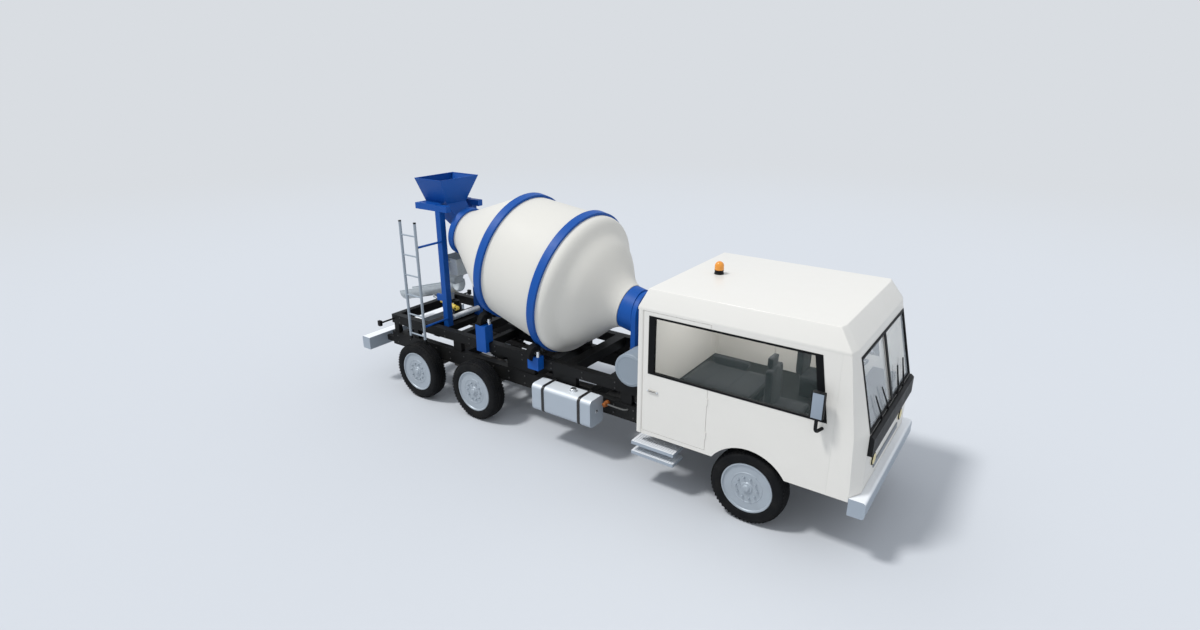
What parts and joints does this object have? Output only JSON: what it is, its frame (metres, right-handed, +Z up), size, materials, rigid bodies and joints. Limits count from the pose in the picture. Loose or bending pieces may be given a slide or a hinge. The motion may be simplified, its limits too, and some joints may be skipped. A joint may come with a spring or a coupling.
{
  "type": "concrete mixer truck",
  "caption": "Three-axle concrete mixer truck: cab with doors, ladder frame, tilted turning drum on rollers, feed hopper, funnel and swinging chute; wheels roll and steer.",
  "frame": {"origin": "on the ground below the middle of the overall length, on the centre line", "axes": "+X forward, +Y to the left, +Z up"},
  "size_m": [9.6148, 2.84, 3.9547],
  "materials": {
    "cab_paint": "satin off-white paint",
    "drum_paint": "satin white paint",
    "blue_paint": "satin blue paint",
    "frame_paint": "satin black paint",
    "bright_metal": "brushed",
    "grey_paint": "satin grey paint",
    "yellow_paint": "satin yellow paint",
    "rod_chrome": "polished",
    "tyre_rubber": "matte rubber",
    "roller_rubber": "matte",
    "black_plastic": "matte black",
    "seat_fabric": "dark woven cover",
    "lamp": "clear amber lens",
    "engine_iron": "cast"
  },
  "bodies": {
    "chassis": {"air_tanks": "bright_metal", "bumpers": "bright_metal", "cab_floor": "cab_paint", "cab_front": "cab_paint", "cab_rear_wall": "cab_paint", "cab_roof": "cab_paint", "cab_sides": "cab_paint", "cab_steps": "bright_metal", "cowl": "black_plastic", "cross_tube": "bright_metal", "dashboard": "black_plastic", "discharge_funnel": "grey_paint", "drum_drive": "blue_paint", "drum_supports": "blue_paint", "engine": "engine_iron", "front_axle": "frame_paint", "fuel_tank": "bright_metal", "hopper": "blue_paint", "hopper_frame": "blue_paint", "ladder": "bright_metal", "lamps": "lamp", "leaf_springs": "frame_paint", "main_frame": "frame_paint", "mirrors": "black_plastic", "mixer_frame": "frame_paint", "propeller_shafts": "frame_paint", "rear_axles": "frame_paint", "roller_pins": "bright_metal", "seats": "seat_fabric", "steering_wheel": "black_plastic", "water_tank": "grey_paint"},
    "front_left_wheel": {"wheel_front_left": "bright_metal", "tyre_front_left": "tyre_rubber"},
    "front_right_wheel": {"wheel_front_right": "bright_metal", "tyre_front_right": "tyre_rubber"},
    "middle_left_wheel": {"wheel_middle_left": "bright_metal", "tyre_middle_left": "tyre_rubber"},
    "middle_right_wheel": {"wheel_middle_right": "bright_metal", "tyre_middle_right": "tyre_rubber"},
    "rear_left_wheel": {"wheel_rear_left": "bright_metal", "tyre_rear_left": "tyre_rubber"},
    "rear_right_wheel": {"wheel_rear_right": "bright_metal", "tyre_rear_right": "tyre_rubber"},
    "left_knuckle": {"knuckle_left": "frame_paint"},
    "left_door": {"door_left": "cab_paint"},
    "right_knuckle": {"knuckle_right": "frame_paint"},
    "right_door": {"door_right": "cab_paint"},
    "tie_rod_link": {"tie_rod": "frame_paint"},
    "mixing_drum": {"drum": "drum_paint", "drum_rings": "blue_paint", "mixing_blades": "drum_paint"},
    "front_left_roller": {"roller_front_left": "roller_rubber"},
    "front_right_roller": {"roller_front_right": "roller_rubber"},
    "rear_left_roller": {"roller_rear_left": "roller_rubber"},
    "rear_right_roller": {"roller_rear_right": "roller_rubber"},
    "swivel": {"chute_swivel": "frame_paint"},
    "trough": {"chute": "grey_paint"},
    "lift_barrel": {"chute_cylinder": "yellow_paint"},
    "lift_rod": {"chute_rod": "rod_chrome"}
  },
  "joints": [
    {"name": "steer_left", "type": "hinge", "parent": "chassis", "child": "left_knuckle", "pos_m": [3.2925, 0.8, 0.532], "axis": [0, 0, 1], "range_deg": [-35, 35]},
    {"name": "steer_right", "type": "hinge", "parent": "chassis", "child": "right_knuckle", "pos_m": [3.2925, -0.8, 0.532], "axis": [0, 0, 1], "range_deg": [-35, 35]},
    {"name": "tie_rod_pivot", "type": "hinge", "parent": "left_knuckle", "child": "tie_rod_link", "pos_m": [3.1225, 0.8, 0.4], "axis": [0, 0, 1], "range_deg": [-35, 35]},
    {"name": "front_left_wheel_spin", "type": "hinge", "parent": "left_knuckle", "child": "front_left_wheel", "pos_m": [3.2925, 1.085, 0.532], "axis": [0, 1, 0], "continuous": true},
    {"name": "front_right_wheel_spin", "type": "hinge", "parent": "right_knuckle", "child": "front_right_wheel", "pos_m": [3.2925, -1.085, 0.532], "axis": [0, 1, 0], "continuous": true},
    {"name": "middle_left_wheel_spin", "type": "hinge", "parent": "chassis", "child": "middle_left_wheel", "pos_m": [-1.7575, 1.085, 0.532], "axis": [0, 1, 0], "continuous": true},
    {"name": "middle_right_wheel_spin", "type": "hinge", "parent": "chassis", "child": "middle_right_wheel", "pos_m": [-1.7575, -1.085, 0.532], "axis": [0, 1, 0], "continuous": true},
    {"name": "rear_left_wheel_spin", "type": "hinge", "parent": "chassis", "child": "rear_left_wheel", "pos_m": [-3.2075, 1.085, 0.532], "axis": [0, 1, 0], "continuous": true},
    {"name": "rear_right_wheel_spin", "type": "hinge", "parent": "chassis", "child": "rear_right_wheel", "pos_m": [-3.2075, -1.085, 0.532], "axis": [0, 1, 0], "continuous": true},
    {"name": "drum_turn", "type": "hinge", "parent": "chassis", "child": "mixing_drum", "pos_m": [-0.4165, 0, 2.464], "axis": [-0.9776, 0, 0.2106], "continuous": true},
    {"name": "front_left_roller_turn", "type": "hinge", "parent": "chassis", "child": "front_left_roller", "pos_m": [-0.56233, 0.95, 1.4715], "axis": [-0.9776, 0, 0.2106], "continuous": true},
    {"name": "front_right_roller_turn", "type": "hinge", "parent": "chassis", "child": "front_right_roller", "pos_m": [-0.56233, -0.95, 1.4715], "axis": [-0.9776, 0, 0.2106], "continuous": true},
    {"name": "rear_left_roller_turn", "type": "hinge", "parent": "chassis", "child": "rear_left_roller", "pos_m": [-1.77875, 0.79, 1.72729], "axis": [-0.9776, 0, 0.2106], "continuous": true},
    {"name": "rear_right_roller_turn", "type": "hinge", "parent": "chassis", "child": "rear_right_roller", "pos_m": [-1.77875, -0.79, 1.72729], "axis": [-0.9776, 0, 0.2106], "continuous": true},
    {"name": "door_left_swing", "type": "hinge", "parent": "chassis", "child": "left_door", "pos_m": [2.68, 1.25, 1.4], "axis": [0, 0, -1], "range_deg": [0, 75]},
    {"name": "door_right_swing", "type": "hinge", "parent": "chassis", "child": "right_door", "pos_m": [2.68, -1.25, 1.4], "axis": [0, 0, 1], "range_deg": [0, 75]},
    {"name": "chute_swing", "type": "hinge", "parent": "chassis", "child": "swivel", "pos_m": [-3.3275, 0, 1.45], "axis": [0, 0, 1], "range_deg": [-60, 60]},
    {"name": "chute_tilt", "type": "hinge", "parent": "swivel", "child": "trough", "pos_m": [-3.4475, 0, 1.6], "axis": [0, 1, 0], "range_deg": [-1, 12]},
    {"name": "lift_pivot", "type": "hinge", "parent": "swivel", "child": "lift_barrel", "pos_m": [-3.1975, -0.125, 1.465], "axis": [0, 1, 0], "range_deg": [-2, 9]},
    {"name": "lift_stroke", "type": "slide", "parent": "lift_barrel", "child": "lift_rod", "axis": [-0.9777, 0, 0.21], "range_m": [-0.03, 0.03]}
  ],
  "couplings": [
    {"joint": "front_left_roller_turn", "follows": "drum_turn", "ratio": -8.8214},
    {"joint": "front_right_roller_turn", "follows": "drum_turn", "ratio": -8.8214},
    {"joint": "rear_left_roller_turn", "follows": "drum_turn", "ratio": -8.1071},
    {"joint": "rear_right_roller_turn", "follows": "drum_turn", "ratio": -8.1071},
    {"joint": "steer_right", "follows": "steer_left", "ratio": 1},
    {"joint": "tie_rod_pivot", "follows": "steer_left", "ratio": -1},
    {"joint": "lift_pivot", "follows": "chute_tilt", "ratio": 0.5615},
    {"joint": "lift_stroke", "follows": "chute_tilt", "m_per_rad": 0.0646}
  ]
}
